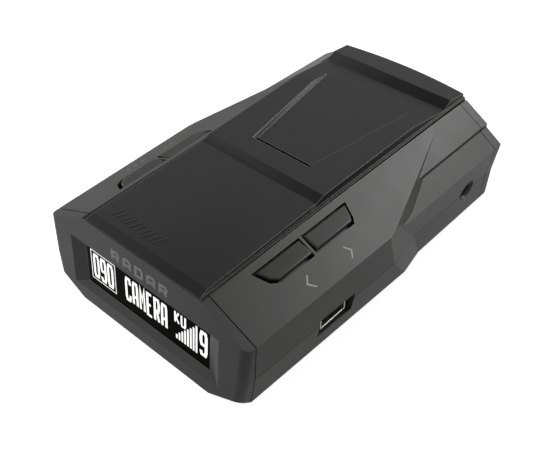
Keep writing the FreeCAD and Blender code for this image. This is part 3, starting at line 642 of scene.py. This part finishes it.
class DETECTOR_OT_electronics(Operator):
    """Finishes the boards and what is on them."""

    bl_idname = "detector.electronics"
    bl_label = "Electronics"

    def execute(self, context):
        _, edges, _ = settings()
        board = circuit_board()
        for node in ("main_board", "button_board_right", "button_board_left"):
            finish(node, board)
        inner = {
            "horn_antenna": metal("cast_horn", (0.66, 0.66, 0.67), 0.42, grain=0.35),
            "rf_shield": metal("tin_shield", (0.70, 0.70, 0.67), 0.28, (1, 0.06, 1), 0.6),
            "supercapacitor": metal("capacitor_can", (0.20, 0.24, 0.34), 0.30, (1, 0.1, 1)),
            "processor_chip": moulded_plastic("chip", (0.016, 0.016, 0.017), 0.55, grain=0.05),
            "gps_antenna": moulded_plastic("ceramic_antenna", (0.62, 0.56, 0.44), 0.62, grain=0.07),
            "speaker": moulded_plastic("speaker_frame", (0.02, 0.02, 0.02), 0.5),
            "tact_switches": moulded_plastic("switch_plastic", (0.03, 0.03, 0.03), 0.48),
        }
        for node, material in inner.items():
            rounded_edges(node, edges.small)
            finish(node, material)
        return {"FINISHED"}


def circuit_board():
    """Green solder mask over copper runs that follow a square grid."""
    paint = Paint("circuit_board", ior=1.5, specular_ior_level=0.6)
    runs = paint.node("ShaderNodeTexBrick", {"offset": 0.35, "squash": 0.6}, {
        "Vector": paint.place(), "Color1": (1, 1, 1), "Color2": (0.6, 0.6, 0.6), "Mortar": (0, 0, 0),
        "Scale": 1 / (6 * MM), "Mortar Size": 0.03, "Brick Width": 0.7, "Row Height": 0.22}, "Fac")
    pads = 1 - paint.ramp(paint.cells(2.6), 0.10, 0.13)
    mask = paint.mix(runs, (0.012, 0.10, 0.035), (0.03, 0.20, 0.07))
    paint.set("Base Color", paint.mix(pads, mask, (0.72, 0.52, 0.22)))
    paint.set("Metallic", pads * 0.9)
    paint.set("Roughness", 0.34 + (paint.noise(0.8) - 0.5) * 0.12)
    paint.bump(runs + pads, 0.03)
    return paint.material


class DETECTOR_OT_fasteners(Operator):
    """Finishes the screws and the rubber feet."""

    bl_idname = "detector.fasteners"
    bl_label = "Screws and feet"

    def execute(self, context):
        _, edges, _ = settings()
        steel = metal("screw_steel", (0.30, 0.30, 0.31), 0.32)
        for node in ("housing_screws", "board_screws"):
            rounded_edges(node, edges.small)
            finish(node, steel)
        rounded_edges("rubber_feet", edges.housing)
        finish("rubber_feet", moulded_plastic("foot_rubber", (0.018, 0.018, 0.018), 0.78, grain=0.2,
                                              depth=0.02, sheen=0.3))
        return {"FINISHED"}


class DETECTOR_OT_studio(Operator):
    """Makes the floor, the surroundings, the lights and the camera."""

    bl_idname = "detector.studio"
    bl_label = "Studio"

    def execute(self, context):
        _, _, studio = settings()
        scene = context.scene
        scene.view_settings.view_transform = "Standard"
        make_camera(scene, studio)
        make_floor(studio.floor_glow)
        make_surroundings(scene, studio.sky)
        lit = bpy.data.collections.new(LIT)
        for piece in frame["nodes"].values():
            lit.objects.link(piece)
        softbox = make_light("softbox", place=(0.16, 0.31, 0.34), size=(0.24, 0.18),
                             power=studio.softbox)
        softbox.light_linking.receiver_collection = lit
        return {"FINISHED"}


def make_camera(scene, studio):
    """The camera, at its angles and distance from the aim point."""
    data = bpy.data.cameras.new("camera")
    data.sensor_width = 36.0
    data.lens = studio.lens
    data.clip_start = 0.01
    camera = bpy.data.objects.new("camera", data)
    scene.collection.objects.link(camera)
    level = math.cos(studio.elevation)
    back = Vector((math.sin(studio.azimuth) * level, -math.cos(studio.azimuth) * level,
                   math.sin(studio.elevation)))
    camera.location = Vector(studio.aim) + back * studio.distance
    camera.rotation_euler = back.to_track_quat("Z", "Y").to_euler()
    scene.camera = camera


def make_floor(glow):
    """A wide white floor under the feet, which the detector's own gloss doesn't mirror."""
    mesh = bmesh.new()
    bmesh.ops.create_grid(mesh, x_segments=8, y_segments=8, size=FLOOR_HALF)
    data = bpy.data.meshes.new("floor")
    mesh.to_mesh(data)
    mesh.free()
    floor = bpy.data.objects.new("floor", data)
    floor.location.z = -0.05 * MM
    floor.visible_glossy = False
    bpy.context.scene.collection.objects.link(floor)
    paint = Paint("floor_white", specular_ior_level=0.0, roughness=0.9, emission_strength=glow,
                  emission_color=(1, 1, 1))
    paint.set("Base Color", paint.mix(paint.noise(60.0, 2.0), (0.90, 0.90, 0.90), (0.94, 0.94, 0.94)))
    data.materials.append(paint.material)


def make_surroundings(scene, strength):
    """Pale walls, brighter in front and behind, a dark ceiling, and a ground brighter on the left.

    across, along and height are the parts of the direction looked in, each from -1 to 1.
    """
    world = bpy.data.worlds.new("surroundings")
    world.use_nodes = True
    nodes = Nodes(world.node_tree)
    heading = nodes.node("ShaderNodeTexCoord", output="Generated")
    across, along, height = [nodes.node("ShaderNodeSeparateXYZ", None, {0: heading}, axis)
                             for axis in "XYZ"]
    ahead = (1 - nodes.ramp(along, -0.35, -0.05)) * (1 - nodes.ramp(across, -0.20, 0.10))
    behind = nodes.ramp(along, 0.58, 0.72)
    above = (0.45 + nodes.ramp(height, 0.50, 0.64) * 0.42 - nodes.ramp(height, 0.70, 0.86) * 0.72
             + ahead * 0.7 + behind * nodes.ramp(across, 0.10, 0.30) * 0.2)
    below = 1.05 - nodes.ramp(across, -0.70, -0.42) * 0.62 + behind * 0.25
    background = world.node_tree.nodes["Background"]
    nodes.feed(background.inputs["Color"],
               nodes.mix(nodes.ramp(height, -0.12, 0.02), nodes.grey(below), nodes.grey(above)))
    background.inputs["Strength"].default_value = strength
    scene.world = world


def make_light(name, place, size, power):
    """A soft rectangular light that faces the detector."""
    data = bpy.data.lights.new(name, "AREA")
    data.shape = "RECTANGLE"
    data.size, data.size_y = size
    data.energy = power
    light = bpy.data.objects.new(name, data)
    light.location = place
    light.rotation_euler = Vector(place).to_track_quat("Z", "Y").to_euler()
    bpy.context.scene.collection.objects.link(light)
    return light


class DETECTOR_PT_panel(Panel):
    """Lists the detector's settings and steps."""

    bl_idname = "DETECTOR_PT_panel"
    bl_label = "Radar Detector"
    bl_space_type = "VIEW_3D"
    bl_region_type = "UI"
    bl_category = "Detector"

    def draw(self, context):
        for group in settings():
            for word in group.__annotations__:
                self.layout.prop(group, word)
        for step in STEPS:
            self.layout.operator(step.bl_idname)


GROUPS = {"detector_colours": DetectorColours, "detector_edges": DetectorEdges,
          "detector_studio": DetectorStudio}
STEPS = (DETECTOR_OT_studio, DETECTOR_OT_housing, DETECTOR_OT_bezel, DETECTOR_OT_cover,
         DETECTOR_OT_keys, DETECTOR_OT_display, DETECTOR_OT_marks, DETECTOR_OT_connectors,
         DETECTOR_OT_rear, DETECTOR_OT_electronics, DETECTOR_OT_fasteners)
CLASSES = (*GROUPS.values(), *STEPS, DETECTOR_PT_panel)


def register():
    for item in CLASSES:
        bpy.utils.register_class(item)
    for name, group in GROUPS.items():
        setattr(bpy.types.Scene, name, PointerProperty(type=group))


def unregister():
    for name in GROUPS:
        delattr(bpy.types.Scene, name)
    for item in reversed(CLASSES):
        bpy.utils.unregister_class(item)


def main():
    register()
    for step in STEPS:
        name = step.bl_idname.split(".")[1]
        getattr(bpy.ops.detector, name)()


if __name__ == "__main__":
    main()
